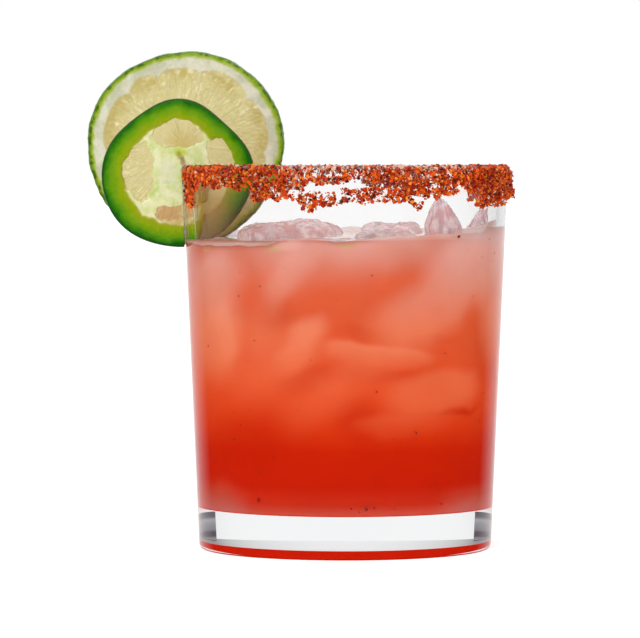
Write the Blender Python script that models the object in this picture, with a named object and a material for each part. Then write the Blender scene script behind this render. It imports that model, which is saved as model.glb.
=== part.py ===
"""A chilli and lime cocktail in a double rocks glass, with a seasoned rim, a lime wheel and a pepper slice.

Lengths are metres. +Z is up, the garnish hangs on the rim's -X side, and the shown side faces -Y.
The origin is the centre of the glass's foot, on the table.
"""

import math
import random

import bmesh
import bpy
from mathutils import Euler, Matrix, Vector, noise

MM = 0.001

# The tumbler: a straight tapered wall over a thick floor
GLASS_HEIGHT = 98.0 * MM
RIM_RADIUS = 41.7 * MM
FOOT_RADIUS = 37.4 * MM
HEEL_HEIGHT = 1.8 * MM
HEEL_DEPTH = 0.9 * MM
FLOOR_HEIGHT = 10.7 * MM
FLOOR_FILLET = 6.0 * MM
WALL_AT_RIM = 2.2 * MM
WALL_AT_FLOOR = 2.9 * MM
LIP_RADIUS = WALL_AT_RIM / 2
GLASS_STEPS = 64

# The space left between two solids that touch in the real thing
GAP = 0.3 * MM
DRINK_LEVEL = 80.0 * MM

# Ice, squarer with a higher power. Each lump: name, centre in plan, top, size, turn in degrees, how much
# narrower its top is, and seed
ICE_POWER = 4.5
ICE_DENT = 0.7 * MM
DENTS_ACROSS = 1.6
SEED_SPACING = 7.3
ICE = (
    ("ice_1", (-15.0, -14.5), 84.6, (27, 22, 20), (3, -4, 8), 0.25, 1),
    ("ice_2", (8.0, -26.0), 82.3, (17, 14, 18), (4, 3, -6), 0.15, 2),
    ("ice_3", (24.6, -11.5), 89.9, (11, 10, 21), (6, -5, 14), 0.65, 3),
    ("ice_4", (33.0, 1.5), 87.2, (8.4, 11, 18), (-4, 18, -10), 0.7, 4),
    ("ice_5", (10.5, 0.0), 83.6, (19, 22, 20), (4, 3, 14), 0.3, 5),
    ("ice_6", (-11.0, 19.0), 84.0, (25, 19, 21), (-3, 4, -10), 0.2, 6),
    ("ice_7", (13.0, 23.5), 83.2, (18, 16, 19), (5, -3, 6), 0.2, 7),
)

# An uneven outline is a circle with waves: how many round the circle, their height and direction in degrees
# The lime wheel, a slice across the fruit
LIME_CENTRE = Vector((-41.0, 3.4, 102.7)) * MM
LIME_RADIUS = 25.0 * MM
LIME_THICKNESS = 5.0 * MM
LIME_SEGMENTS = 10
STEPS_PER_SEGMENT = 6
PULP_SHARE = 0.84
PITH_SHARE = 0.93
CORE_SHARE = 0.10
PULP_SINK = 0.35 * MM
PEEL_BULGE = 0.4 * MM
LIME_WAVES = ((2, 0.010, 35.0), (3, 0.012, 95.0), (5, 0.006, 20.0), (17, 0.003, 0.0))

# The pepper slice, a ring of flesh with four ribs that meet in a core
PEPPER_CENTRE = Vector((-42.8, -2.1, 96.2)) * MM
PEPPER_RADIUS = 18.9 * MM
PEPPER_THICKNESS = 4.4 * MM
PEPPER_STEPS = 60
SKIN_EDGE = ((0.94, 1.0), (0.99, 0.7), (1.0, 0.25))
PEPPER_WAVES = (
    (1, 0.034, -103.0),
    (2, 0.015, 17.0),
    (3, 0.018, -83.0),
    (4, 0.020, 8.0),
    (5, 0.016, 53.0),
)
# Seed chambers: the middle direction and half width in degrees, then inner and outer radius
CHAMBERS = (
    (90.0, 38.0, 6.4 * MM, 13.6 * MM),
    (21.0, 24.0, 8.6 * MM, 14.8 * MM),
    (276.0, 37.0, 8.4 * MM, 13.6 * MM),
    (179.0, 42.0, 6.2 * MM, 14.0 * MM),
)
CHAMBER_STEPS = 18
CHAMBER_RIPPLE = 0.06
CHAMBER_RIPPLES = 5

# The seasoned crust, a ring folded over the lip, left out where the two slices sit
CRUST_START = 187.8
CRUST_END = 530.8
CRUST_STEPS = 76
CRUST_HANG_OUT = 6.6 * MM
HANG_OUT_WAVES = ((1, 1.9 * MM, 270.0), (2, 0.8 * MM, 0.0), (9, 0.6 * MM, 90.0), (22, 0.5 * MM, 33.0))
CRUST_HANG_IN = 3.6 * MM
HANG_IN_WAVES = ((5, 0.5 * MM, 90.0), (13, 0.4 * MM, -25.0))
CRUST_THICKNESS = 0.7 * MM
CRUST_BUMP = 1.0 * MM
BUMPS_ROUND = 19
BUMPS_PER_ROW = 1.3
CRUST_BULGE = 1.0 * MM
BULGE_HALF_ANGLE = 32.0
CRUST_OUTER_ROWS = 3
CRUST_INNER_ROWS = 2
CLUMPS = 62
CLUMP_RADIUS = (0.9 * MM, 1.7 * MM)
CLUMP_UNEVEN = (0.75, 1.15)
CLUMP_PROUD = 0.45
CLUMP_MARGIN = 2.0
CLUMP_SEED = 11

COLOURS = {
    "clear_glass": ((0.93, 0.95, 0.95), 0.03),
    "drink": ((0.78, 0.16, 0.05), 0.25),
    "ice": ((0.85, 0.80, 0.80), 0.15),
    "lime": ((0.60, 0.62, 0.25), 0.40),
    "pepper": ((0.20, 0.42, 0.04), 0.30),
    "seasoning": ((0.62, 0.14, 0.03), 0.80),
}


def clear_scene():
    for old in list(bpy.data.objects):
        bpy.data.objects.remove(old)


def material(name):
    """The plain surface of one kind of piece, made once."""
    found = bpy.data.materials.get(name)
    if found:
        return found
    colour, roughness = COLOURS[name]
    made = bpy.data.materials.new(name)
    made.use_nodes = True
    shader = made.node_tree.nodes["Principled BSDF"]
    shader.inputs["Base Color"].default_value = (*colour, 1)
    shader.inputs["Roughness"].default_value = roughness
    shader.inputs["Metallic"].default_value = 0
    return made


def add_object(name, shape, finish):
    """Turns a bmesh into a smooth shaded object with its material."""
    mesh = bpy.data.meshes.new(name)
    shape.to_mesh(mesh)
    shape.free()
    mesh.shade_smooth()
    mesh.set_sharp_from_angle(angle=math.radians(50))
    mesh.materials.append(material(finish))
    made = bpy.data.objects.new(name, mesh)
    bpy.context.scene.collection.objects.link(made)
    return made


def as_cutter(cutter):
    cutter.hide_render = True
    cutter.display_type = "WIRE"
    return cutter


def boolean(target, operation, other):
    modifier = target.modifiers.new(f"{operation}_{other.name}".lower(), "BOOLEAN")
    modifier.operation = operation
    modifier.solver = "EXACT"
    modifier.object = other
    return modifier


def turned(profile, steps, warp=None):
    """A body of revolution round Z. The profile runs from the axis below, outside and up, to the axis above.

    warp(angle, radius, height) may move each point of a ring, which makes outlines that aren't round.
    """
    shape = bmesh.new()
    rings = []
    for radius, height in profile:
        if radius == 0:
            rings.append([shape.verts.new((0, 0, height))] * steps)
            continue
        ring = []
        for step in range(steps):
            angle = 2 * math.pi * step / steps
            r, z = warp(angle, radius, height) if warp else (radius, height)
            ring.append(shape.verts.new((r * math.cos(angle), r * math.sin(angle), z)))
        rings.append(ring)
    for below, above in zip(rings, rings[1:]):
        for step in range(steps):
            after = (step + 1) % steps
            corners = [below[step], below[after], above[after], above[step]]
            shape.faces.new(list(dict.fromkeys(corners)))
    return shape


def outer_radius(height):
    return FOOT_RADIUS + (RIM_RADIUS - FOOT_RADIUS) * height / GLASS_HEIGHT


def inner_radius(height):
    share = (height - FLOOR_HEIGHT) / (GLASS_HEIGHT - FLOOR_HEIGHT)
    return outer_radius(height) - (WALL_AT_FLOOR + (WALL_AT_RIM - WALL_AT_FLOOR) * share)


def arc(centre, radii, start, end, steps):
    """Points of an ellipse's arc, both ends included, with angles in degrees."""
    points = []
    for step in range(steps + 1):
        angle = math.radians(start + (end - start) * step / steps)
        points.append((centre[0] + radii[0] * math.cos(angle), centre[1] + radii[1] * math.sin(angle)))
    return points


def cavity_profile(gap, top):
    """The inside of the tumbler from the middle of its floor up to a height, a gap clear of the glass."""
    fillet_height = FLOOR_HEIGHT + FLOOR_FILLET
    centre = (inner_radius(fillet_height) - FLOOR_FILLET, fillet_height)
    radius = FLOOR_FILLET - gap
    return [(0, FLOOR_HEIGHT + gap), *arc(centre, (radius, radius), -90, 0, 4), (inner_radius(top) - gap, top)]


def lip_centre():
    height = GLASS_HEIGHT - LIP_RADIUS
    return outer_radius(height) - LIP_RADIUS, height


def make_glass():
    flat = outer_radius(HEEL_HEIGHT) - HEEL_DEPTH
    heel = arc((flat, HEEL_HEIGHT), (HEEL_DEPTH, HEEL_HEIGHT), -90, 0, 3)
    lip = arc(lip_centre(), (LIP_RADIUS, LIP_RADIUS), 0, 180, 4)
    inside = cavity_profile(0, GLASS_HEIGHT - LIP_RADIUS)[:-1]
    profile = [(0, 0), *heel, *lip, *reversed(inside)]
    return add_object("glass", turned(profile, GLASS_STEPS), "clear_glass")


def make_wall_cutter(clearance):
    """The upper wall of the tumbler, thickened, which opens the slit in each slice."""
    bottom = DRINK_LEVEL - LIME_RADIUS
    middle, height = lip_centre()
    reach = LIP_RADIUS + clearance
    shape = turned(
        [
            (inner_radius(bottom) - clearance, bottom),
            (outer_radius(bottom) + clearance, bottom),
            *arc((middle, height), (reach, reach), 0, 180, 8),
            (inner_radius(bottom) - clearance, bottom),
        ],
        GLASS_STEPS * 2,
    )
    bmesh.ops.remove_doubles(shape, verts=shape.verts[:], dist=0.001 * MM)
    return as_cutter(add_object("wall_cutter", shape, "clear_glass"))


def waves(terms, angle):
    """The height of an uneven outline above its circle at an angle."""
    return sum(height * math.cos(count * angle - math.radians(turn)) for count, height, turn in terms)


def waved(terms):
    """A warp for turned() that gives a slice its uneven outline."""
    return lambda angle, radius, height: (radius * (1 + waves(terms, angle)), height)


def stand_up(made, centre):
    """Turns a flat slice to face -Y, with its middle at a point."""
    made.matrix_world = Matrix.Translation(centre) @ Matrix.Rotation(math.radians(90), 4, "X")


def lime_profile(radius, half):
    """The lower face, the peel's bulge and the upper face."""
    flat = (0, CORE_SHARE, PULP_SHARE, PITH_SHARE, 1 - PEEL_BULGE / radius)
    upper = [(share * radius, half) for share in flat] + [(radius, half / 3)]
    return [(r, -z) for r, z in upper] + upper[::-1]


def make_lime():
    half = LIME_THICKNESS / 2
    steps = LIME_SEGMENTS * STEPS_PER_SEGMENT

    def shaped(angle, radius, height):
        step = round(angle / (2 * math.pi) * steps)
        on_pulp = CORE_SHARE < radius / LIME_RADIUS < PULP_SHARE - 0.01
        between_walls = step % STEPS_PER_SEGMENT != 0
        sink = PULP_SINK if on_pulp and between_walls else 0
        return radius * (1 + waves(LIME_WAVES, angle)), math.copysign(abs(height) - sink, height)

    made = add_object("lime_wheel", turned(lime_profile(LIME_RADIUS, half), steps, shaped), "lime")
    stand_up(made, LIME_CENTRE)
    return made


def pepper_profile(radius, half):
    """A flat slice whose skin edge is slightly rounded."""
    upper = [(0, half)] + [(across * radius, up * half) for across, up in SKIN_EDGE]
    return [(r, -z) for r, z in upper] + upper[::-1]


def chamber_cutter(number, middle, half_width, inner, outer):
    """A rounded wedge through the slice, with an uneven edge."""
    shape = bmesh.new()
    outline = []
    for step in range(CHAMBER_STEPS):
        turn = 2 * math.pi * step / CHAMBER_STEPS
        ripple = 1 + CHAMBER_RIPPLE * math.sin(CHAMBER_RIPPLES * turn + 2 * number)
        direction = math.radians(middle + half_width * ripple * math.sin(turn))
        radius = (inner + outer) / 2 + (outer - inner) / 2 * ripple * math.cos(turn)
        outline.append(Vector((radius * math.cos(direction), radius * math.sin(direction), 0)))
    depth = Vector((0, 0, PEPPER_THICKNESS))
    low = [shape.verts.new(point - depth) for point in outline]
    high = [shape.verts.new(point + depth) for point in outline]
    shape.faces.new(low)
    shape.faces.new(high)
    for step in range(CHAMBER_STEPS):
        after = (step + 1) % CHAMBER_STEPS
        shape.faces.new((low[step], low[after], high[after], high[step]))
    bmesh.ops.recalc_face_normals(shape, faces=shape.faces[:])
    made = as_cutter(add_object(f"chamber_cutter_{number}", shape, "pepper"))
    stand_up(made, PEPPER_CENTRE)
    return made


def make_pepper():
    profile = pepper_profile(PEPPER_RADIUS, PEPPER_THICKNESS / 2)
    made = add_object("jalapeno_slice", turned(profile, PEPPER_STEPS, waved(PEPPER_WAVES)), "pepper")
    stand_up(made, PEPPER_CENTRE)
    for number, chamber in enumerate(CHAMBERS, 1):
        boolean(made, "DIFFERENCE", chamber_cutter(number, *chamber))
    return made


def ice_shape(size, peak, seed, clearance):
    """A melted cube: a box with round edges and a few shallow dents, drawn in towards its top."""
    shape = bmesh.new()
    bmesh.ops.create_cube(shape, size=2)
    bmesh.ops.subdivide_edges(shape, edges=shape.edges[:], cuts=3, use_grid_fill=True)
    for vertex in shape.verts:
        power_sum = sum(abs(part) ** ICE_POWER for part in vertex.co)
        direction = vertex.co / power_sum ** (1 / ICE_POWER)
        dent = ICE_DENT * noise.noise(direction * DENTS_ACROSS + Vector((seed * SEED_SPACING, 0, 0)))
        drawn_in = 1 - peak * ((1 + direction.z) / 2) ** 2
        for axis, share in enumerate((drawn_in, drawn_in, 1)):
            direction[axis] *= (size[axis] * MM / 2 + dent) * share + clearance
        vertex.co = direction
    return shape


def make_ice(drink):
    """Floats each lump with its top at its height, and opens a pocket for it in the drink."""
    for name, plan, top, size, turn, peak, seed in ICE:
        rotation = Euler([math.radians(angle) for angle in turn]).to_matrix().to_4x4()
        bare = ice_shape(size, peak, seed, 0)
        reach = max((rotation @ vertex.co).z for vertex in bare.verts)
        place = Matrix.Translation((plan[0] * MM, plan[1] * MM, top * MM - reach)) @ rotation
        add_object(name, bare, "ice").matrix_world = place
        pocket = as_cutter(add_object(f"{name}_pocket", ice_shape(size, peak, seed, GAP), "ice"))
        pocket.matrix_world = place
        boolean(drink, "DIFFERENCE", pocket)


def make_drink():
    profile = [*cavity_profile(GAP, DRINK_LEVEL), (0, DRINK_LEVEL)]
    return add_object("drink", turned(profile, GLASS_STEPS), "drink")


def garnish_pocket(name, radius, thickness, terms, centre):
    """The room that a slice's lower tip takes in the drink."""
    half = thickness / 2 + GAP
    reach = radius + GAP
    profile = [(0, -half), (reach, -half), (reach, half), (0, half)]
    made = as_cutter(add_object(name, turned(profile, PEPPER_STEPS, waved(terms)), "drink"))
    stand_up(made, centre)
    return made


def crust_bulge(angle):
    """The extra thickness where the seasoning piled up on the rim's +X side."""
    away = (angle + 180) % 360 - 180
    return CRUST_BULGE * max(0.0, 1 - (away / BULGE_HALF_ANGLE) ** 2)


def crust_hang(angle):
    """How far the crust comes down the outside and the inside of the wall."""
    turn = math.radians(angle)
    return CRUST_HANG_OUT + waves(HANG_OUT_WAVES, turn), CRUST_HANG_IN + waves(HANG_IN_WAVES, turn)


def crust_path(angle, outer_rows, inner_rows):
    """Points on the glass from the crust's outer edge over the lip to its inner edge, with their normals."""
    hang_out, hang_in = crust_hang(angle)
    middle, height = lip_centre()
    path = []
    for row in range(outer_rows):
        z = height - (hang_out - LIP_RADIUS) * (1 - row / outer_rows)
        path.append(((outer_radius(z), z), (1, 0)))
    for point in arc((middle, height), (LIP_RADIUS, LIP_RADIUS), 0, 180, 4):
        path.append((point, ((point[0] - middle) / LIP_RADIUS, (point[1] - height) / LIP_RADIUS)))
    for row in range(1, inner_rows + 1):
        z = height - (hang_in - LIP_RADIUS) * row / inner_rows
        path.append(((inner_radius(z), z), (-1, 0)))
    return path


def crust_section(angle, end_fade):
    """One closed outline of the crust, in radius and height: its bumpy face, then the face on the glass."""
    turn = math.radians(angle)
    path = crust_path(angle, CRUST_OUTER_ROWS, CRUST_INNER_ROWS)
    outline = []
    for row, ((r, z), (across, up)) in enumerate(path):
        spot = Vector((math.cos(turn) * BUMPS_ROUND, math.sin(turn) * BUMPS_ROUND, row * BUMPS_PER_ROW))
        at_edge = row in (0, len(path) - 1)
        bump = 0 if at_edge else CRUST_BUMP * end_fade * max(0.0, 0.35 + noise.noise(spot))
        cover = 0.5 if at_edge else 1 - 0.5 * up
        reach = GAP + (CRUST_THICKNESS + bump) * cover + crust_bulge(angle) * max(across, 0.0)
        outline.append((r + across * reach, z + up * reach))
    for (r, z), (across, up) in reversed(crust_path(angle, 1, 1)):
        outline.append((r + across * GAP, z + up * GAP))
    return outline


def crust_shape():
    shape = bmesh.new()
    sections = []
    for step in range(CRUST_STEPS + 1):
        angle = CRUST_START + (CRUST_END - CRUST_START) * step / CRUST_STEPS
        end_fade = min(1.0, step / 2, (CRUST_STEPS - step) / 2)
        turn = math.radians(angle)
        ring = [
            shape.verts.new((r * math.cos(turn), r * math.sin(turn), z))
            for r, z in crust_section(angle, end_fade)
        ]
        sections.append(ring)
    for before, after in zip(sections, sections[1:]):
        for index in range(len(before)):
            follow = (index + 1) % len(before)
            shape.faces.new((before[index], after[index], after[follow], before[follow]))
    shape.faces.new(sections[0])
    shape.faces.new(sections[-1])
    bmesh.ops.recalc_face_normals(shape, faces=shape.faces[:])
    return shape


def clump_object(draw, number, collection):
    """One lump of grains, half sunk in the crust's outer face."""
    span = CRUST_END - CRUST_START - 2 * CLUMP_MARGIN
    angle = CRUST_START + CLUMP_MARGIN + span * (number + draw.uniform(0.1, 0.9)) / CLUMPS
    turn = math.radians(angle)
    low = GLASS_HEIGHT - crust_hang(angle)[0]
    radius = draw.uniform(*CLUMP_RADIUS)
    z = draw.uniform(low, GLASS_HEIGHT - LIP_RADIUS - radius)
    r = outer_radius(z) + GAP + CRUST_THICKNESS + crust_bulge(angle) + CLUMP_PROUD * radius
    shape = bmesh.new()
    bmesh.ops.create_icosphere(shape, subdivisions=1, radius=radius)
    for vertex in shape.verts:
        vertex.co *= draw.uniform(*CLUMP_UNEVEN)
    made = add_object(f"clump_{number}", shape, "seasoning")
    made.matrix_world = (
        Matrix.Translation((r * math.cos(turn), r * math.sin(turn), z))
        @ Euler([draw.uniform(0, math.pi) for _ in range(3)]).to_matrix().to_4x4()
    )
    bpy.context.scene.collection.objects.unlink(made)
    collection.objects.link(made)
    return made


def make_crust():
    """The crust ring with its larger clumps joined on by one union."""
    made = add_object("chilli_salt_rim", crust_shape(), "seasoning")
    clumps = bpy.data.collections.new("clumps")
    bpy.context.scene.collection.children.link(clumps)
    draw = random.Random(CLUMP_SEED)
    for number in range(CLUMPS):
        clump_object(draw, number, clumps)
    bpy.context.view_layer.update()
    union = made.modifiers.new("union_clumps", "BOOLEAN")
    union.operation = "UNION"
    union.operand_type = "COLLECTION"
    union.collection = clumps
    union.solver = "EXACT"
    graph = bpy.context.evaluated_depsgraph_get()
    joined = bpy.data.meshes.new_from_object(made.evaluated_get(graph))
    made.modifiers.clear()
    made.data = joined
    for clump in list(clumps.objects):
        bpy.data.objects.remove(clump)
    bpy.data.collections.remove(clumps)


def main():
    clear_scene()
    make_glass()
    drink = make_drink()
    lime = make_lime()
    pepper = make_pepper()
    wall = make_wall_cutter(GAP)
    boolean(lime, "DIFFERENCE", wall)
    boolean(pepper, "DIFFERENCE", wall)
    for pocket in (
        garnish_pocket("lime_pocket", LIME_RADIUS, LIME_THICKNESS, LIME_WAVES, LIME_CENTRE),
        garnish_pocket("pepper_pocket", PEPPER_RADIUS, PEPPER_THICKNESS, PEPPER_WAVES, PEPPER_CENTRE),
    ):
        boolean(drink, "DIFFERENCE", pocket)
    make_ice(drink)
    make_crust()


main()
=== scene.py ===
"""The looks of a red cocktail on ice, with a chilli-salt rim, a lime wheel and a green chilli slice.

Shapes are worked out in millimetres and scaled when their mesh is made. +Z is up and the shown side faces -Y.
Azimuths are degrees from -Y towards +X, as the shown side is read from left to right.
"""

import itertools
import math

import bmesh
import bpy
import numpy as np
from mathutils import Euler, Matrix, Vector


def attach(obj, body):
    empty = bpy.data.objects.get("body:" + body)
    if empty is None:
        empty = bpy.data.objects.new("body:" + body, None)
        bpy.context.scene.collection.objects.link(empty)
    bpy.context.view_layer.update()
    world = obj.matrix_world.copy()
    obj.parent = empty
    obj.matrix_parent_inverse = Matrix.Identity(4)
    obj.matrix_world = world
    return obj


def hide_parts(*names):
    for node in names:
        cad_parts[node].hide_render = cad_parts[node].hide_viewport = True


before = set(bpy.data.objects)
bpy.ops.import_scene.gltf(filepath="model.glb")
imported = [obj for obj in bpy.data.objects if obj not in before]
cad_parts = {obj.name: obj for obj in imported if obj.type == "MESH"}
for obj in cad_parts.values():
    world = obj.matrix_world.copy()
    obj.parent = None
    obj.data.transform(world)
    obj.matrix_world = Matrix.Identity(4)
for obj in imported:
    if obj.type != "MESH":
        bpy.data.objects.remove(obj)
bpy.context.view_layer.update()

MM = 0.001
BODY = "root"

# The view: lens and sensor in mm, where the camera stands and what it aims at in metres
LENS = 239
SENSOR = 36
CAMERA_PLACE = (0, -1.0885, 0.098)
CAMERA_AIM = (-0.00645, 0, 0.0587)

# The key light, a wide and weak sun: strength, direction and angle in degrees
KEY_STRENGTH = 0.8
KEY_TOWARDS = (0.2, 0.8, -0.9)
KEY_ANGLE = 25

# The table: how far it lies under the foot, its first ring and its reach
FLOOR_DROP = 0.2
FLOOR_FIRST = 60
FLOOR_REACH = 20000

# The tumbler, turned from the same sizes as its solid with finer arcs. The hollow under its foot has a height
# at its edge, a crown in the middle, a radius and a sloping rim
GLASS_HEIGHT = 98.0
RIM_RADIUS = 41.7
FOOT_RADIUS = 37.4
HEEL_HEIGHT = 1.8
HEEL_DEPTH = 0.9
HOLLOW_HEIGHT = 1.9
HOLLOW_CROWN = 0.4
HOLLOW_RADIUS = 34.9
HOLLOW_SLOPE = 5.6
FLOOR_HEIGHT = 10.7
FLOOR_FILLET = 6.0
WALL_AT_RIM = 2.2
WALL_AT_FLOOR = 2.9
LIP_RADIUS = WALL_AT_RIM / 2
GLASS_STEPS = 256
HOLLOW_STEPS = 110
GAP = 0.3

# The low cards behind the tumbler, which glow in painted greys: distance, reach round it from straight
# behind, top, and painted tone by height
FLAG_AWAY = 75.0
FLAG_FROM = 23.5
FLAG_TO = 66.0
FLAG_TOP = 8.0
FLAG_ROWS = 49
FLAG_STEPS = 60
FLAG_TONES = (
    (-4, (190, 168, 174)), (0.4, (184, 160, 168)), (1, (96, 84, 92)), (2.3, (98, 84, 92)),
    (3, (142, 140, 148)), (4.6, (160, 158, 164)), (5.8, (182, 180, 186)), (6.6, (110, 106, 112)),
    (8, (104, 98, 104)),
)

# The drink, which reaches a little into the wall
DRINK_LEVEL = 80.0
INTO_WALL = 0.15
DRINK_STEPS = 360
DRINK_ROW = 0.65
RIPPLE_HEIGHT = 0.3
RIPPLE_ACROSS = 9.0
DRINK_SCATTER = {
    "Subsurface Weight": 0.25,
    "Subsurface Radius": (1.0, 0.35, 0.15),
    "Subsurface Scale": 0.002,
}
# How high the drink stands on the wall at each azimuth, as the shown side has it
SHORE = (
    (-180, 81.5), (-120, 80.9), (-80, 78.5), (-60, 77.9), (-29, 78.1), (-24, 79.4), (-20.5, 80.1),
    (-12, 79.9), (-4, 79.2), (2, 79.3), (10, 80), (21, 80.5), (44, 81.1), (57, 81.1), (62, 82.2),
    (67, 83.8), (72, 84.4), (78, 83.6), (85, 82), (95, 80.9), (130, 81.2), (180, 81.5),
)

# The drink's colour at each height: plain, where ice lies behind it, and where it is deepest
PLAIN_DRINK = (
    (11, (205, 84, 66)), (13.5, (204, 50, 28)), (18, (202, 32, 8)), (27, (208, 36, 6)),
    (33, (222, 60, 20)), (42, (232, 80, 38)), (57, (230, 92, 52)), (70, (232, 102, 66)),
    (78, (220, 122, 96)),
)
ICY_DRINK = (
    (11, (194, 108, 100)), (15, (200, 80, 62)), (20, (212, 60, 30)), (30, (226, 84, 44)),
    (42, (238, 110, 68)), (57, (244, 138, 100)), (68, (236, 156, 134)), (78, (238, 174, 160)),
    (82, (216, 182, 180)),
)
DEEP_DRINK = (
    (11, (200, 60, 40)), (18, (196, 26, 4)), (35, (204, 36, 6)), (50, (216, 62, 22)),
    (65, (218, 76, 36)), (78, (208, 96, 66)),
)

# Ice sunk behind the wall: azimuth, height, width, height of the lump, tilt, strength, edge softness and fade
# towards its lower edge, a painted shading: a positive fade leaves the lump lighter at its top, a negative
# one at its bottom. A negative strength is a deeper stretch between two lumps
SUNKEN_ICE = (
    (-58, 69.5, 21, 12, 8, 0.80, 0.55, 0.2),
    (-57, 55.5, 17, 21, -12, 0.90, 0.50, 0.1),
    (-51.6, 56, 5, 14, 8, 0.85, 0.60, 0),
    (-72, 58, 9, 26, 0, 0.60, 0.60, 0),
    (-20.5, 79.2, 8, 2.8, 0, 1.00, 0.40, 0),
    (-8, 74, 33, 17, 8, 0.90, 0.60, 0.9),
    (-22, 70, 7, 19, -42, 0.60, 0.60, 0.2),
    (-13, 57, 9, 6.5, 24, 0.85, 0.70, 0.1),
    (-18, 51.5, 12, 6.5, 28, 0.75, 0.60, 0.2),
    (-29, 51, 20, 16, -10, 0.45, 0.70, 0.2),
    (-36, 42, 15, 9, 0, 0.40, 0.80, 0.6),
    (18, 77, 26, 10, 0, 0.70, 0.60, 0.8),
    (55, 73, 30, 19, 20, 0.95, 0.45, 0.1),
    (72, 66, 17, 31, 0, 0.88, 0.50, 0.3),
    (-64, 12.5, 22, 10, 0, 0.90, 0.60, 0),
    (64, 12.5, 22, 10, 0, 0.90, 0.60, 0),
    (31, 61, 26, 15, 26, 0.62, 0.55, -0.2),
    (14, 50.8, 29, 5.6, -7, 0.90, 0.20, 0.9),
    (6, 49, 17, 7, -16, 0.40, 0.70, 0.4),
    (38, 41.5, 30, 10, 10, 0.62, 0.35, -0.7),
    (24, 33.6, 26, 5, 3, 0.62, 0.45, 0.7),
    (-9, 39.5, 20, 9, 34, 0.50, 0.75, 0.3),
    (-26, 61.5, 10, 8, -38, -0.85, 0.70, 0),
    (-14, 45.5, 22, 6, 14, -0.60, 0.70, 0),
    (20, 55.3, 24, 2.6, -6, -0.55, 0.80, 0),
    (24, 45, 26, 3.6, -6, -0.55, 0.70, 0),
    (40, 36.6, 26, 1.8, 4, -0.80, 0.40, 0),
    (66, 53, 12, 16, 12, -0.50, 0.70, 0),
    (78.5, 38, 3.2, 22, 0, -0.90, 0.60, 0),
    (-38, 30, 26, 12, 8, -0.60, 0.70, 0),
    (5, 35, 12, 10, -30, -0.60, 0.70, 0),
    (92, 39, 15, 22, 0, 1.00, 0.60, 0),
    (71, 81, 26, 12, 0, 1.00, 0.50, 0),
)
# Bits of lime pulp that float along the wall: azimuth, height, width and height
PULP_BITS = ((-60.5, 77.2, 3.6, 1.2), (-27.0, 77.5, 4.2, 1.6), (0.5, 78.3, 4.8, 1.2))
# Sunken ice on the sides that the photo doesn't show: how many lumps, and between which azimuths
HIDDEN_ICE = 44
HIDDEN_ICE_FROM = 95.0
HIDDEN_ICE_TO = 265.0

# Specks of chilli along the wall: how many small ones, how far off they stand, and the larger ones on the
# shown side by azimuth, height and size
SMALL_SPECKS = 110
SPECK_REACH = 0.12
SPECKS = (
    (45.5, 80.4, 0.62),
    (28.5, 31.5, 0.40),
    (27.6, 31.9, 0.28),
    (-48, 29.5, 0.26),
    (-36.5, 14.5, 0.50),
    (8.4, 12.8, 0.62),
    (11.6, 12.9, 0.36),
    (41.5, 13.4, 0.36),
    (40, 17, 0.30),
    (65, 79.5, 0.34),
    (70.5, 75.9, 0.38),
    (60, 75, 0.26),
    (12, 42, 0.26),
    (63, 33.5, 0.30),
)

# Ice that stands out of the drink, as its solids: centre in plan, top, size, turn in degrees, how much
# narrower its top is, and seed
ICE_POWER = 4.5
ICE_CUTS = 31
ICE = (
    ("ice_1", (-15.0, -14.5), 84.6, (27, 22, 20), (3, -4, 8), 0.25, 1),
    ("ice_2", (8.0, -26.0), 82.3, (17, 14, 18), (4, 3, -6), 0.15, 2),
    ("ice_3", (24.6, -11.5), 89.9, (11, 10, 21), (6, -5, 14), 0.65, 3),
    ("ice_4", (33.0, 1.5), 87.2, (8.4, 11, 18), (-4, 18, -10), 0.7, 4),
    ("ice_5", (10.5, 0.0), 83.6, (19, 22, 20), (4, 3, 14), 0.3, 5),
    ("ice_6", (-11.0, 19.0), 84.0, (25, 19, 21), (-3, 4, -10), 0.2, 6),
    ("ice_7", (13.0, 23.5), 83.2, (18, 16, 19), (5, -3, 6), 0.2, 7),
)

# The two slices. An uneven outline is a circle with waves: how many round the circle, their height and
# direction in degrees. The lime's pulp, pith and zest end at shares of its radius
LIME_CENTRE = (-41.0, 3.4, 102.7)
LIME_RADIUS = 25.0
LIME_THICKNESS = 5.0
LIME_SEGMENTS = 10
LIME_WAVES = ((2, 0.010, 35.0), (3, 0.012, 95.0), (5, 0.006, 20.0), (17, 0.003, 0.0))
LIME_STEPS = 400
LIME_RINGS = 88
SACS_ROUND = 118
SAC_LENGTH = 3.4
LIME_HUB = (-0.8, 0.7)
LIME_CLEAR_WALL = 2
PULP_SHARE = 0.845
PITH_SHARE = 0.925
ZEST_SHARE = 0.978

PEPPER_CENTRE = (-42.8, -2.1, 96.2)
PEPPER_RADIUS = 18.9
PEPPER_THICKNESS = 4.4
PEPPER_WAVES = (
    (1, 0.034, -103.0),
    (2, 0.015, 17.0),
    (3, 0.018, -83.0),
    (4, 0.020, 8.0),
    (5, 0.016, 53.0),
)
# The chambers: direction and half width in degrees, and where they start and end from the middle
PEPPER_CHAMBERS = (
    (90.0, 38.0, 6.4, 13.6),
    (21.0, 24.0, 8.6, 14.8),
    (276.0, 37.0, 8.4, 13.6),
    (179.0, 42.0, 6.2, 14.0),
)
PEPPER_VOXEL = 0.28
PEPPER_STEPS = 240
PEPPER_BEVEL = 0.7
CHAMBER_STEPS = 96
# The stretch of wall that cuts the slits, in degrees from +X, and its steps
CUT_FROM = 150
CUT_TO = 210
CUT_STEPS = 121
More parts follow.
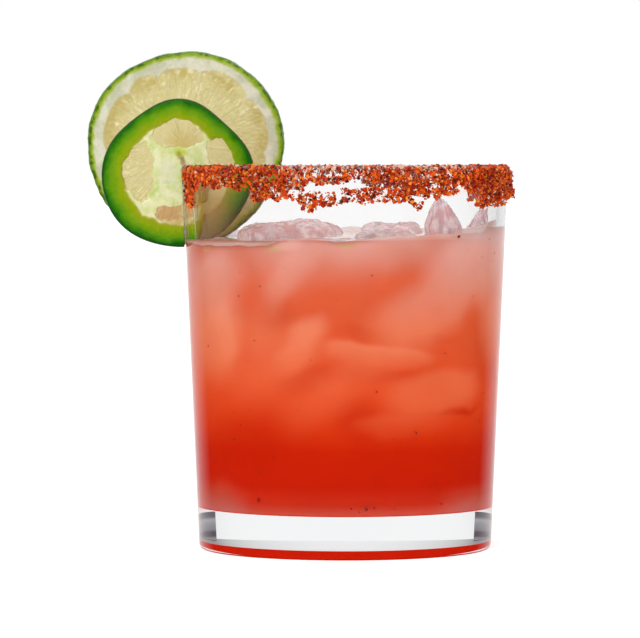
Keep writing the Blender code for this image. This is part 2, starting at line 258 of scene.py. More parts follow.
# Marks on the lime and on the core of the pepper slice: place, reach, photo colour and strength
LIME_MARKS = (
    ((-4.6, -16.4), (5.6, 3.4), (184, 138, 84), 0.75),
    ((-8.5, -16.0), (2.6, 1.6), (214, 176, 146), 0.6),
)
PEPPER_MARKS = (
    ((0.6, 5.6), (2.4, 1.1), (176, 192, 40), 0.8),
    ((0.4, 4.2), (0.6, 1.4), (128, 104, 20), 0.6),
    ((1.3, 3.0), (0.8, 1.2), (134, 84, 20), 0.8),
    ((-2.6, -2.4), (0.9, 0.5), (150, 182, 80), 0.7),
    ((-1.8, 0.5), (3.0, 3.6), (206, 210, 172), 0.7),
)

# The seasoning on the rim: azimuth from and to, lowest and highest place, cover, thickness and the share of
# salt. Places above the lip's middle go on over the lip and down inside
OVER_LIP = 101.2
CRUST_BANDS = (
    (-77.5, -60, 92.5, OVER_LIP, 1, 0.2, 0.03),
    (-60, -33, 92.5, OVER_LIP, 1, 0.8, 0.03),
    (-77.5, -67, 87.9, 92.5, 0.8, 0.2, 0.02),
    (-34, -21, 89.7, OVER_LIP, 1, 1.1, 0.06),
    (-21, 0, 93.4, OVER_LIP, 0.75, 0.8, 0.28),
    (-19, -11, 90.2, 93.5, 0.6, 0.9, 0.15),
    (-15.5, -11, 87, 90.8, 1, 1.1, 0.02),
    (-9.8, -4, 88, 91.4, 1, 1.1, 0.02),
    (0, 23, 94.2, OVER_LIP, 0.9, 0.8, 0.20),
    (-1.5, 23, 88.6, 92.4, 1, 1, 0.05),
    (23, 41, 90.5, OVER_LIP, 1, 1.1, 0.06),
    (41, 46, 92.6, OVER_LIP, 1, 1.1, 0.05),
    (25.2, 27.4, 87.2, 88.9, 1, 0.6, 0.00),
    (46, 53.5, 91.2, OVER_LIP, 1, 1.3, 0.05),
    (53.5, 72, 88, OVER_LIP, 1, 1.6, 0.04),
    (72, 125, 89.3, OVER_LIP, 1, 1.7, 0.04),
    (120, 262, 93, OVER_LIP, 1, 0.9, 0.10),
    (150, 170, 90, 94, 0.9, 0.9, 0.05),
    (196, 232, 90.8, 94, 0.9, 0.9, 0.05),
)
# How many degrees a band's ragged ends reach into the next one
SPILL = 1.3
# Each layer of grains: name, grains per square mm, smallest and largest size, how far out in the pile they
# lie, how much of a band's salt they take, and fewest faces or not
GRAIN_LAYERS = (
    ("chilli_salt_grains", 2.2, (0.42, 0.78), (0.0, 0.7), 0.35, False),
    ("chilli_salt_dust", 7.5, (0.20, 0.38), (0.35, 1.1), 1.2, True),
)
# How deep grains sink into the lip, and how far below a band's lowest place its ragged edge may reach
LIP_SINK = 0.45
RAGGED_REACH = 0.8
# Grain colours and their chances. The darkest stands in for painted shade between grains and the brightest
# orange is a painted highlight; the others are the seasoning's own tones.
GRAIN_TONES = (
    ((222, 88, 6), 0.30),
    ((196, 56, 0), 0.28),
    ((150, 30, 0), 0.22),
    ((92, 22, 0), 0.10),
    ((240, 130, 30), 0.10),
)
SALT_TONE = (226, 184, 164)
# Where the lip itself is salted: the middle of the stretch and half its width in degrees
SALTED_LIP = (12.0, 36.0)


def linear(colour):
    """A photo colour, 0 to 255 a channel, as the linear values that shaders take."""
    share = np.array(colour, float) / 255
    return np.where(share <= 0.04045, share / 12.92, ((share + 0.055) / 1.055) ** 2.4)


def smooth(low, high, value):
    """0 on low's side, 1 on high's side and a smooth rise between."""
    share = np.clip((value - low) / (high - low), 0, 1)
    return share * share * (3 - 2 * share)


def blend(first, second, share):
    """Two colours, or arrays of them, mixed point by point."""
    share = np.asarray(share)[..., None]
    return first * (1 - share) + second * share


def tinted(tones, colour, share):
    """Tones mixed with a photo colour."""
    return blend(tones, linear(colour), share)


def between(first, second, share):
    """A mix of two photo colours."""
    return blend(linear(first), linear(second), share)


def ramp(stops, heights):
    """Colours at heights, blended between stops of a height and a photo colour."""
    levels = [level for level, _ in stops]
    colours = np.array([linear(colour) for _, colour in stops])
    return np.stack([np.interp(heights, levels, colours[:, channel]) for channel in range(3)], axis=1)


def lattice_noise(points, size, seed):
    """Smooth values from -1 to 1 at points, blended between pseudo-random values at a lattice's corners."""
    scaled = np.asarray(points, float) / size
    base = np.floor(scaled)
    part = scaled - base
    part = part * part * (3 - 2 * part)
    total = np.zeros(len(scaled))
    for corner in itertools.product((0, 1), repeat=scaled.shape[1]):
        key = (base + corner) @ np.array((127.1, 311.7, 74.7))[: scaled.shape[1]] + seed * 19.19
        value = np.sin(key) * 43758.5453
        weight = np.prod(np.where(corner, part, 1 - part), axis=1)
        total += (2 * (value - np.floor(value)) - 1) * weight
    return total


def cloud(points, size, seed, octaves=3):
    """Lattice noise with finer and fainter copies added."""
    return sum(lattice_noise(points, size / 2**level, seed + level) / 2**level for level in range(octaves))


def new_material(name, values):
    """A Principled material with its uniform values on the shader's own sockets."""
    made = bpy.data.materials.new(name)
    made.use_nodes = True
    for socket, value in values.items():
        shader_of(made).inputs[socket].default_value = value
    return made


def shader_of(made):
    return made.node_tree.nodes["Principled BSDF"]


def link(made, source, output, target, entry):
    made.node_tree.links.new(source.outputs[output], target.inputs[entry])


def add_node(made, kind, values=None):
    """A node with its input values set. Its texture coordinates, if any, are the object's own."""
    node = made.node_tree.nodes.new(kind)
    for socket, value in (values or {}).items():
        node.inputs[socket].default_value = value
    if "Vector" in node.inputs and kind.startswith("ShaderNodeTex"):
        coordinates = made.node_tree.nodes.new("ShaderNodeTexCoord")
        link(made, coordinates, "Object", node, "Vector")
    return node


def speckle(made, size, low, high):
    """A noise texture with features of a size in mm, spread between two values."""
    texture = add_node(made, "ShaderNodeTexNoise", {"Scale": 1 / (size * MM), "Detail": 4.0})
    reach = {"From Min": 0.3, "From Max": 0.7, "To Min": low, "To Max": high}
    spread = add_node(made, "ShaderNodeMapRange", reach)
    link(made, texture, "Fac", spread, "Value")
    return spread


def painted_tone(made):
    tone = add_node(made, "ShaderNodeAttribute")
    tone.attribute_name = "tone"
    return tone


def use_tone(made, size, spread):
    """The painted tone as base colour, made lighter and darker by a fine noise."""
    shade = speckle(made, size, 1 - spread, 1 + spread)
    mix = add_node(made, "ShaderNodeVectorMath")
    mix.operation = "SCALE"
    link(made, painted_tone(made), "Color", mix, 0)
    link(made, shade, "Result", mix, "Scale")
    link(made, mix, "Vector", shader_of(made), "Base Color")


def use_bump(made, size, height):
    """Fine relief: features of a size and height in mm."""
    texture = add_node(made, "ShaderNodeTexNoise", {"Scale": 1 / (size * MM), "Detail": 3.0})
    bump = add_node(made, "ShaderNodeBump", {"Strength": 1.0, "Distance": height * MM})
    link(made, texture, "Fac", bump, "Height")
    link(made, bump, "Normal", shader_of(made), "Normal")


def use_roughness(made, size, low, high):
    """Roughness that varies with a noise."""
    link(made, speckle(made, size, low, high), "Result", shader_of(made), "Roughness")


def paint(made, tones):
    """Stores a colour for each point of the mesh."""
    layer = made.data.color_attributes.new("tone", "FLOAT_COLOR", "POINT")
    rgba = np.ones((len(made.data.vertices), 4), np.float32)
    rgba[:, :3] = np.clip(tones, 0, 1)
    layer.data.foreach_set("color", rgba.ravel())


def positions(made):
    """The mesh's points in millimetres."""
    flat = np.empty(len(made.data.vertices) * 3, np.float32)
    made.data.vertices.foreach_get("co", flat)
    return flat.reshape(-1, 3).astype(float) / MM


def move_points(made, points):
    made.data.vertices.foreach_set("co", (points * MM).astype(np.float32).ravel())
    made.data.update()


def normals(made):
    flat = np.empty(len(made.data.vertices) * 3, np.float32)
    made.data.vertex_normals.foreach_get("vector", flat)
    return flat.reshape(-1, 3).astype(float)


def new_object(name, points, faces, finishes, rounded=True):
    """An object from points in millimetres."""
    mesh = bpy.data.meshes.new(name)
    mesh.from_pydata((np.asarray(points) * MM).tolist(), [], faces)
    if rounded:
        mesh.shade_smooth()
    for finish in finishes:
        mesh.materials.append(finish)
    made = bpy.data.objects.new(name, mesh)
    bpy.context.scene.collection.objects.link(made)
    return made


def dress(made, slot, *nodes):
    """Makes a piece part of the object: its body, and hides the solids that it stands for. The slot is not
    used.
    """
    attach(made, BODY)
    if nodes:
        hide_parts(*nodes)
    return made


def see_through(made):
    """Lets light pass a piece unbent, so that what is in or behind it is lit evenly."""
    made.visible_shadow = False
    made.visible_diffuse = False


def lathe(profile, steps):
    """Points and faces of a body turned round Z. The profile goes out and up from the axis and back to it."""
    profile = np.array(profile, float)
    turn = np.arange(steps) * 2 * math.pi / steps
    radius, height = profile[1:-1, 0, None], profile[1:-1, 1, None]
    rings = np.stack([radius * np.cos(turn), radius * np.sin(turn), height + 0 * turn], axis=-1)
    points = np.vstack([[0, 0, profile[0, 1]], rings.reshape(-1, 3), [0, 0, profile[-1, 1]]])
    here = 1 + np.arange(steps)
    after = 1 + (np.arange(steps) + 1) % steps
    last = (len(profile) - 3) * steps
    faces = [(0, b, a) for a, b in zip(here.tolist(), after.tolist())]
    for row in range(len(profile) - 3):
        low = row * steps
        quads = np.stack([here + low, after + low, after + low + steps, here + low + steps], axis=1)
        faces.extend(quads.tolist())
    top = len(points) - 1
    faces += [(a + last, b + last, top) for a, b in zip(here.tolist(), after.tolist())]
    return points, faces


def arc(centre, radii, start, end, steps):
    """Points of an ellipse's arc, both ends included, with angles in degrees."""
    turn = np.radians(np.linspace(start, end, steps + 1))
    across = centre[0] + radii[0] * np.cos(turn)
    up = centre[1] + radii[1] * np.sin(turn)
    return np.stack([across, up], axis=1).tolist()


def run(start, end, step):
    """Points of a straight stretch without its ends."""
    start, end = np.array(start), np.array(end)
    count = max(1, round(float(np.linalg.norm(end - start)) / step))
    return [(start + (end - start) * share).tolist() for share in np.arange(1, count) / count]


def outer_radius(height):
    return FOOT_RADIUS + (RIM_RADIUS - FOOT_RADIUS) * height / GLASS_HEIGHT


def inner_radius(height):
    share = (height - FLOOR_HEIGHT) / (GLASS_HEIGHT - FLOOR_HEIGHT)
    return outer_radius(height) - (WALL_AT_FLOOR + (WALL_AT_RIM - WALL_AT_FLOOR) * share)


def lip_centre():
    height = GLASS_HEIGHT - LIP_RADIUS
    return outer_radius(height) - LIP_RADIUS, height


def cavity_arc(reach, steps):
    """The rounded corner between the tumbler's floor and its wall, a reach outside the glass's inner face."""
    height = FLOOR_HEIGHT + FLOOR_FILLET
    radius = FLOOR_FILLET + reach
    return arc((inner_radius(height) - FLOOR_FILLET, height), (radius, radius), -90, 0, steps)


def waves(terms, angle):
    """The height of an uneven outline above its circle at angles in radians."""
    return sum(height * np.cos(count * angle - math.radians(turn)) for count, height, turn in terms)


def make_camera():
    """The photograph's view: far off at the rim's height, looking slightly down."""
    lens = bpy.data.cameras.new("camera")
    lens.lens = LENS
    lens.sensor_width = SENSOR
    lens.clip_start = 0.05
    lens.clip_end = 60
    camera = bpy.data.objects.new("camera", lens)
    camera.location = CAMERA_PLACE
    camera.rotation_euler = (Vector(CAMERA_AIM) - camera.location).to_track_quat("-Z", "Y").to_euler()
    bpy.context.scene.collection.objects.link(camera)
    bpy.context.scene.camera = camera


def make_world():
    """A white studio, seen as plain white.

    What the glass reflects is a darker room on the shown side, less dark for light within the glass.
    """
    world = bpy.data.worlds.new("studio")
    bpy.context.scene.world = world
    world.use_nodes = True
    background = world.node_tree.nodes["Background"]
    direction = world.node_tree.nodes.new("ShaderNodeTexCoord")
    axes = world.node_tree.nodes.new("ShaderNodeSeparateXYZ")
    link(world, direction, "Generated", axes, 0)
    ray = world.node_tree.nodes.new("ShaderNodeLightPath")

    def spread(axis, low, high, to_low, to_high):
        node = add_node(
            world,
            "ShaderNodeMapRange",
            {"From Min": low, "From Max": high, "To Min": to_low, "To Max": to_high},
        )
        link(world, axes, axis, node, "Value")
        return node

    def mix(factor, output, first, second):
        node = world.node_tree.nodes.new("ShaderNodeMix")
        link(world, factor, output, node, 0)
        for entry, source in ((2, first), (3, second)):
            if isinstance(source, float):
                node.inputs[entry].default_value = source
            else:
                link(world, source[0], source[1], node, entry)
        return node, 0

    light = (spread("Y", -1.0, 0.6, 0.92, 1.0), "Result")
    level = (spread("Y", 0.60, 1.0, 0.02, 1.0), "Result")
    above = spread("Z", 0.12, 0.45, 0.0, 1.0)
    inside = (spread("Y", 0.60, 1.0, 0.35, 1.0), "Result")
    level = mix(ray, "Is Transmission Ray", level, inside)
    gloss = mix(above, "Result", level, 0.9)
    light = mix(ray, "Is Transmission Ray", light, 1.08)
    reflected = world.node_tree.nodes.new("ShaderNodeMath")
    reflected.operation = "MULTIPLY"
    link(world, ray, "Glossy Depth", reflected, 0)
    link(world, ray, "Is Glossy Ray", reflected, 1)
    seen = mix(reflected, 0, light, gloss)
    final = mix(ray, "Is Camera Ray", seen, 1.0)
    link(world, final[0], final[1], background, "Color")


def make_key_light():
    lamp = bpy.data.lights.new("key", "SUN")
    lamp.energy = KEY_STRENGTH
    lamp.angle = math.radians(KEY_ANGLE)
    made = bpy.data.objects.new("key", lamp)
    made.rotation_euler = Vector(KEY_TOWARDS).to_track_quat("-Z", "Y").to_euler()
    bpy.context.scene.collection.objects.link(made)


def make_floor():
    """A wide white table, just under the foot."""
    finish = new_material(
        "floor_white",
        {
            "Base Color": (0.90, 0.90, 0.90, 1),
            "Roughness": 0.9,
            "Specular IOR Level": 0.0,
            "Emission Color": (1, 1, 1, 1),
            "Emission Strength": 0.3,
        },
    )
    rings = [0.0, *np.geomspace(FLOOR_FIRST, FLOOR_REACH, 14).tolist(), 0.0]
    points, faces = lathe([(radius, -FLOOR_DROP) for radius in rings], 64)
    made = new_object("floor", points, [face for face in faces if len(points) - 1 not in face], [finish])
    made.visible_glossy = False
    made.visible_transmission = False


def make_flags():
    """Two low cards behind the tumbler that glow in painted darker greys, seen through its thick floor alone,
    as its grey ends.
    """
    finish = new_material(
        "flag",
        {"Base Color": (0, 0, 0, 1), "Specular IOR Level": 0.0, "Emission Strength": 1.0},
    )
    link(finish, painted_tone(finish), "Color", shader_of(finish), "Emission Color")
    heights = np.linspace(FLAG_TONES[0][0], FLAG_TOP, FLAG_ROWS)
    faces = []
    for row, place in itertools.product(range(FLAG_ROWS - 1), range(FLAG_STEPS - 1)):
        low = row * FLAG_STEPS + place
        faces.append((low, low + 1, low + 1 + FLAG_STEPS, low + FLAG_STEPS))
    for side in (-1, 1):
        turn = np.radians(side * np.linspace(FLAG_FROM, FLAG_TO, FLAG_STEPS))
        rows = [(FLAG_AWAY * np.sin(turn), FLAG_AWAY * np.cos(turn), height + 0 * turn) for height in heights]
        points = np.concatenate([np.stack(row, axis=1) for row in rows])
        made = new_object("flag", points, faces, [finish])
        paint(made, ramp(FLAG_TONES, points[:, 2]))
        for kind in ("camera", "diffuse", "glossy", "shadow", "volume_scatter"):
            setattr(made, f"visible_{kind}", False)


def underside():
    """The shallow hollow under the foot, from the axis out to the ring that stands on the table."""
    radius = np.linspace(0, HOLLOW_RADIUS, HOLLOW_STEPS)
    height = HOLLOW_HEIGHT + HOLLOW_CROWN * (1 - (radius / HOLLOW_RADIUS) ** 2)
    return list(zip(radius, height * smooth(HOLLOW_RADIUS, HOLLOW_RADIUS - HOLLOW_SLOPE, radius)))


def make_glass():
    finish = new_material(
        "clear_glass",
        {"Base Color": (1, 1, 1, 1), "Roughness": 0.0, "IOR": 1.5, "Transmission Weight": 1.0},
    )
    haze = {"Color": (0.70, 0.74, 0.75, 1), "Density": 5.0}
    absorption = add_node(finish, "ShaderNodeVolumeAbsorption", haze)
    link(finish, absorption, "Volume", finish.node_tree.nodes["Material Output"], "Volume")
    flat = outer_radius(HEEL_HEIGHT) - HEEL_DEPTH
    heel = arc((flat, HEEL_HEIGHT), (HEEL_DEPTH, HEEL_HEIGHT), -90, 0, 12)
    lip = arc(lip_centre(), (LIP_RADIUS, LIP_RADIUS), 0, 180, 14)
    inside = cavity_arc(0, 14)[::-1]
    profile = [
        *underside(),
        *heel,
        *run(heel[-1], lip[0], 3),
        *lip,
        *run(lip[-1], inside[0], 3),
        *inside,
        *run(inside[-1], (0, FLOOR_HEIGHT), 3),
        (0, FLOOR_HEIGHT),
    ]
    made = new_object("tumbler", *lathe(profile, GLASS_STEPS), [finish])
    see_through(made)
    dress(made, "clear_glass", "glass")


def lump_share(azimuth, height, lump):
    """How much of one sunken lump shows at places on the drink's side: 1 in its middle and 0 outside."""
    middle, level, width, tall, tilt, strength, soft, fade = lump
    across = np.radians((azimuth - middle + 180) % 360 - 180) * outer_radius(level)
    up = height - level
    turn = math.radians(tilt)
    along = (across * math.cos(turn) + up * math.sin(turn)) / (width / 2)
    over = (up * math.cos(turn) - across * math.sin(turn)) / (tall / 2)
    from_middle = (np.abs(along) ** 2.6 + np.abs(over) ** 2.6) ** (1 / 2.6)
    inside = smooth(1 + soft, 1 - soft, from_middle)
    # Painted light and shade: the fade dims the lump towards its lower edge, so that it looks lit from above;
    # a negative fade brightens its lower edge instead
    return strength * inside * np.clip(1 - fade * (0.5 - over / 2), 0, 1.4)


def hidden_lumps():
    """Sunken ice round the sides that the photo doesn't show, large above and small and rare below."""
    rng = np.random.default_rng(4)
    lumps = []
    for number in range(HIDDEN_ICE):
        share = (number + rng.uniform(0.1, 0.9)) / HIDDEN_ICE
        azimuth = HIDDEN_ICE_FROM + (HIDDEN_ICE_TO - HIDDEN_ICE_FROM) * share
        level = rng.choice((73.0, 62.0, 52.0, 41.0)) + rng.uniform(-4, 4)
        size = rng.uniform(0.6, 1.0)
        strength = (0.35 + 0.5 * (level - 35) / 45) * rng.choice((1.0, 1.0, -0.7))
        width, tall = 24 * size * rng.uniform(0.7, 1.2), 13 * size * rng.uniform(0.5, 1.1)
        tilt, soft, fade = rng.uniform(-14, 14), rng.uniform(0.25, 0.5), rng.uniform(0, 0.8)
        lumps.append((azimuth, level, width, tall, tilt, strength, soft, fade))
    return lumps


def drink_tones(points):
    """The drink's colours: a ramp by height, paler over sunken ice and deeper between its lumps."""
    azimuth = np.degrees(np.arctan2(points[:, 0], -points[:, 1]))
    height = points[:, 2]
    sway = 2.0 * cloud(points, 13.0, 2)
    lift = 1.4 * cloud(points + 40, 10.0, 3)
    icy = np.zeros(len(points))
    deep = np.zeros(len(points))
    for lump in (*SUNKEN_ICE, *hidden_lumps()):
        share = lump_share(azimuth + sway, height + lift, lump)
        if lump[5] > 0:
            icy = 1 - (1 - icy) * (1 - np.clip(share, 0, 0.97))
        else:
            deep = 1 - (1 - deep) * (1 + np.clip(share, -0.97, 0))
    haze = 0.5 + 0.5 * cloud(points + 70, 16.0, 5)
    icy = np.clip(icy + 0.22 * (haze - 0.5) * smooth(25, 45, height), 0, 1)
    tones = ramp(PLAIN_DRINK, height)
    tones = blend(tones, ramp(DEEP_DRINK, height), deep * (1 - 0.7 * icy))
    tones = blend(tones, ramp(ICY_DRINK, height), icy)
    for middle, level, width, tall in PULP_BITS:
        share = lump_share(azimuth, height, (middle, level, width, tall, 0.0, 0.6, 0.9, 0.0))
        tones = tinted(tones, (204, 176, 116), share)
    below_shore = shore(azimuth) - height
    waterline = smooth(1.0, 0.2, below_shore) * smooth(60, 44, azimuth)
    tones = tinted(tones, (196, 104, 88), 0.6 * waterline)
    on_floor = smooth(FLOOR_HEIGHT + 0.25, FLOOR_HEIGHT, height)
    return tinted(tones, (216, 36, 10), on_floor)


def shore(azimuth):
    """The height of the drink's edge on the wall."""
    azimuths, heights = zip(*SHORE)
    return np.interp(azimuth, azimuths, heights)


def surface_height(points):
    """The height of the drink's top: ripples, and slopes to where it wets the wall."""
    share = np.hypot(points[:, 0], points[:, 1]) / (inner_radius(DRINK_LEVEL) + INTO_WALL)
    azimuth = np.degrees(np.arctan2(points[:, 0], -points[:, 1]))
    edge = shore(azimuth) + 0.12 * np.sin(np.radians(azimuth) * 23) + 0.08 * np.sin(np.radians(azimuth) * 41)
    ripple = RIPPLE_HEIGHT * cloud(points[:, :2], RIPPLE_ACROSS, 8, 2) * smooth(1.0, 0.9, share)
    return DRINK_LEVEL + ripple + (edge - DRINK_LEVEL) * share**4


def make_drink():
    side = new_material("drink_side", {"Roughness": 0.6, "Specular IOR Level": 0.0, **DRINK_SCATTER})
    use_tone(side, 6.0, 0.02)
    top = new_material("drink_top", {"Roughness": 0.06, "IOR": 1.35, **DRINK_SCATTER})
    use_tone(top, 2.0, 0.05)
    use_bump(top, 3.0, 0.15)
    corner = cavity_arc(INTO_WALL, 12)
    wall = (inner_radius(DRINK_LEVEL) + INTO_WALL, DRINK_LEVEL)
    profile = [
        (0, FLOOR_HEIGHT - INTO_WALL),
        *run((0, FLOOR_HEIGHT - INTO_WALL), corner[0], 3),
        *corner,
        *run(corner[-1], wall, DRINK_ROW),
        wall,
        *run(wall, (0, DRINK_LEVEL), DRINK_ROW),
        (0, DRINK_LEVEL),
    ]
    points, faces = lathe(profile, DRINK_STEPS)
    on_top = points[:, 2] > DRINK_LEVEL - 1e-6
    tones = drink_tones(points)
    pale = between((222, 166, 152), (228, 196, 188), smooth(-0.6, 0.6, cloud(points, 12.0, 9)))
    tones = np.where(on_top[:, None], pale, tones)
    points[on_top, 2] = surface_height(points)[on_top]
    made = new_object("iced_drink", points, faces, [side, top])
    top_face = [all(on_top[index] for index in face) for face in faces]
    made.data.polygons.foreach_set("material_index", np.array(top_face, np.int32))
    paint(made, tones)
    dress(made, "drink", "drink")


def make_ice():
    """Melted cubes, pale and wet, standing a little out of the drink."""
    finish = new_material(
        "wet_ice",
        {"IOR": 1.31, "Transmission Weight": 0.5, "Specular IOR Level": 0.6},
    )
    use_tone(finish, 1.5, 0.06)
    use_roughness(finish, 2.5, 0.05, 0.35)
    use_bump(finish, 1.1, 0.16)
    for name, plan, top, size, turn, peak, seed in ICE:
        shape = bmesh.new()
        bmesh.ops.create_cube(shape, size=2)
        bmesh.ops.subdivide_edges(shape, edges=shape.edges[:], cuts=ICE_CUTS, use_grid_fill=True)
        cube = np.array([vertex.co[:] for vertex in shape.verts])
        faces = [[vertex.index for vertex in face.verts] for face in shape.faces]
        shape.free()
        ball = cube / ((np.abs(cube) ** ICE_POWER).sum(axis=1) ** (1 / ICE_POWER))[:, None]
        dents = 0.9 * cloud(ball + seed * 7.3, 0.62, seed)
        dents -= 0.8 * np.abs(lattice_noise(ball * (1, 1, 0.5) + seed * 3.1, 0.33, seed))
        dents -= 0.35 * np.abs(lattice_noise(ball * (1, 1, 0.6) + seed * 5.3, 0.15, seed + 2))
        drawn_in = 1 - peak * ((1 + ball[:, 2]) / 2) ** 2
        shares = np.stack([drawn_in, drawn_in, np.ones(len(ball))], axis=1)
        points = ball * (np.array(size) / 2 + dents[:, None]) * shares
        rotation = np.array(Euler([math.radians(angle) for angle in turn]).to_matrix())
        points = points @ rotation.T
        points += (plan[0], plan[1], top - points[:, 2].max())
        pink = smooth(-0.1, 0.5, cloud(points * (1, 1, 0.5), 2.6, seed + 20))
        frost = smooth(0.05, 0.5, cloud(points * (1.5, 1.5, 0.45), 1.7, seed + 40))
        grey = smooth(0.2, 0.6, cloud(points * (1, 1, 0.6), 2.0, seed + 60))
        tones = between((230, 214, 220), (218, 168, 170), 0.8 * pink)
        tones = tinted(tones, (184, 166, 176), 0.5 * grey)
        tones = tinted(tones, (250, 244, 246), 0.85 * frost)
        made = new_object(f"{name}_lump", points, faces, [finish])
        paint(made, tones)
        see_through(made)
        dress(made, "ice", name)


def face_outwards(made):
    """Turns the faces of a closed mesh outwards."""
    repair = bmesh.new()
    repair.from_mesh(made.data)
    bmesh.ops.recalc_face_normals(repair, faces=repair.faces[:])
    repair.to_mesh(made.data)
    repair.free()


def wall_cutter():
    """The upper wall of the tumbler, thickened, which opens the slit in each slice."""
    bottom = DRINK_LEVEL - LIME_RADIUS
    reach = LIP_RADIUS + GAP
    outline = [
        (inner_radius(bottom) - GAP, bottom),
        (outer_radius(bottom) + GAP, bottom),
        *arc(lip_centre(), (reach, reach), 0, 180, 12),
    ]
    turn = np.radians(np.linspace(CUT_FROM, CUT_TO, CUT_STEPS))
    points = []
    for angle in turn:
        points += [(r * math.cos(angle), r * math.sin(angle), z) for r, z in outline]
    count = len(outline)
    faces = [list(range(count))[::-1], [(len(turn) - 1) * count + index for index in range(count)]]
    for row in range(len(turn) - 1):
        for index in range(count):
            after = (index + 1) % count
            low = row * count
            faces.append((low + index, low + after, low + count + after, low + count + index))
    made = new_object("wall_cutter", points, faces, [])
    face_outwards(made)
    return made


def apply_modifiers(made):
    """Replaces the mesh by what its modifiers make of it."""
    bpy.context.view_layer.update()
    graph = bpy.context.evaluated_depsgraph_get()
    result = bpy.data.meshes.new_from_object(made.evaluated_get(graph))
    made.modifiers.clear()
    made.data = result


def cut(made, cutter):
    modifier = made.modifiers.new("cut", "BOOLEAN")
    modifier.operation = "DIFFERENCE"
    modifier.solver = "EXACT"
    modifier.object = cutter
    apply_modifiers(made)


def standing(flat, centre):
    """Points of a flat slice turned to face -Y, with its middle at a point."""
    return np.stack([flat[:, 0] + centre[0], centre[1] - flat[:, 2], flat[:, 1] + centre[2]], axis=1)


def lying(points, centre):
    """The flat slice's own coordinates of points on the standing one."""
    return np.stack([points[:, 0] - centre[0], points[:, 2] - centre[2], centre[1] - points[:, 1]], axis=1)


def lime_zones(flat):
    """Share of the radius, segment number, place across it, and distance and direction from the hub."""
    angle = np.arctan2(flat[:, 1], flat[:, 0])
    share = np.hypot(flat[:, 0], flat[:, 1]) / (LIME_RADIUS * (1 + waves(LIME_WAVES, angle)))
    from_hub = flat[:, :2] - LIME_HUB
    turn = np.arctan2(from_hub[:, 1], from_hub[:, 0])
    uneven = 0.10 * np.sin(3 * turn + 0.7) + 0.06 * np.sin(5 * turn + 2.0)
    place = (turn + uneven) / (2 * math.pi) * LIME_SEGMENTS % LIME_SEGMENTS
    number = np.floor(place)
    return share, number, place - number, np.hypot(from_hub[:, 0], from_hub[:, 1]), turn


def vesicles(turn, reach, seed):
    """Juice sacs, long cells that point at the hub: a value for each cell and the nearness to its wall."""
    across = turn / (2 * math.pi) * SACS_ROUND
    along = reach / SAC_LENGTH
    shift = np.sin(np.floor(across) * 12.9898 + seed) * 0.5
    best = np.full(len(turn), 9.0)
    second = np.full(len(turn), 9.0)
    value = np.zeros(len(turn))
    for step_across, step_along in itertools.product((-1, 0, 1), repeat=2):
        column = np.floor(across) + step_across
        row = np.floor(along + shift) + step_along
        key = np.sin(column * 127.1 + row * 311.7 + seed) * 43758.5453
        jitter = key - np.floor(key)
        other = np.sin(column * 269.5 + row * 183.3 + seed) * 43758.5453
        other = other - np.floor(other)
        distance = np.hypot(across - column - 0.2 - 0.6 * jitter, (along + shift - row - 0.2 - 0.6 * other))
        nearer = distance < best
        second = np.where(nearer, best, np.minimum(second, distance))
        value = np.where(nearer, jitter, value)
        best = np.where(nearer, distance, best)
    return value, smooth(0.28, 0.02, second - best)


def add_marks(tones, flat, marks):
    """Soft marks of a colour on a slice."""
    for place, reach, tone, strength in marks:
        away = np.hypot((flat[:, 0] - place[0]) / reach[0], (flat[:, 1] - place[1]) / reach[1])
        tones = blend(tones, linear(tone), strength * smooth(1.1, 0.5, away + 0.5 * cloud(flat, 1.2, 48)))
    return tones


